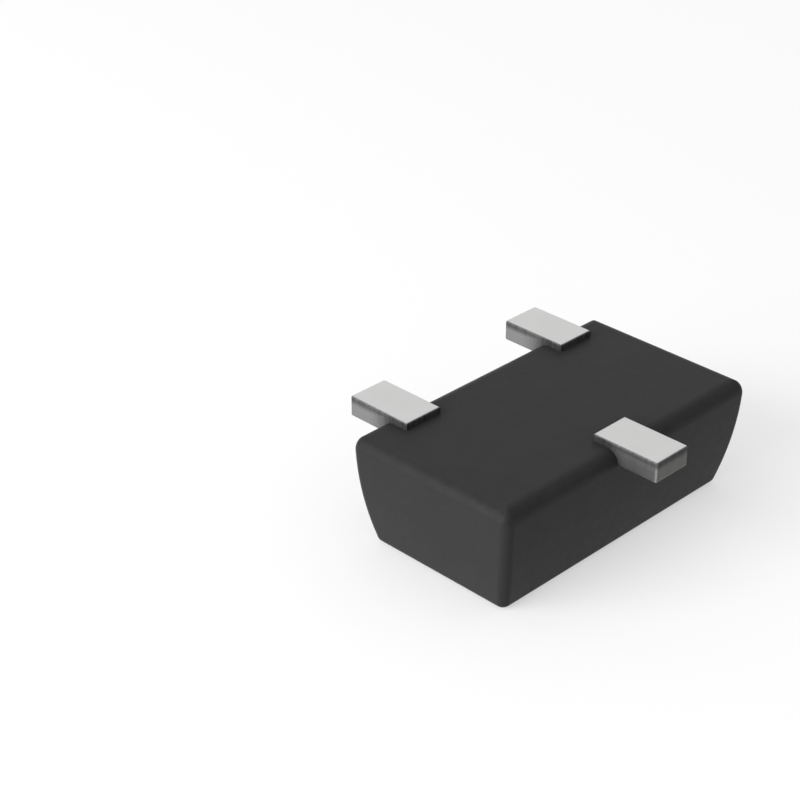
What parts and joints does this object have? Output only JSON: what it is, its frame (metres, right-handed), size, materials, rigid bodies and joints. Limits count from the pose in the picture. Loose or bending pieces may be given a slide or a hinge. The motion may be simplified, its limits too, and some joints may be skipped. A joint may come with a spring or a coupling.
{
  "type": "sot-23 transistor",
  "caption": "Small surface-mount transistor with three flat leads and a black moulded body, lying on its marked face with its soldering side up.",
  "frame": {"origin": "centre of the marked face, on the surface that the part lies on", "axes": "+Z out of the soldering side; X along the moulding's length; the collector lead points to -Y and the base and emitter leads to +Y"},
  "size_m": [0.003, 0.0024, 0.0011],
  "materials": {
    "moulding_compound": "black filled epoxy, satin from a fine spark-eroded mould",
    "plated_lead": "matte tin plating on copper alloy strip",
    "die_adhesive": "silver-filled epoxy",
    "silicon": "sawn silicon with a polished face",
    "bond_wire": "drawn gold wire"
  },
  "bodies": {
    "root": {"moulded_body": "moulding_compound", "collector_lead": "plated_lead", "base_lead": "plated_lead", "emitter_lead": "plated_lead", "die_attach": "die_adhesive", "silicon_die": "silicon", "base_bond_wire": "bond_wire", "emitter_bond_wire": "bond_wire"}
  },
  "joints": []
}
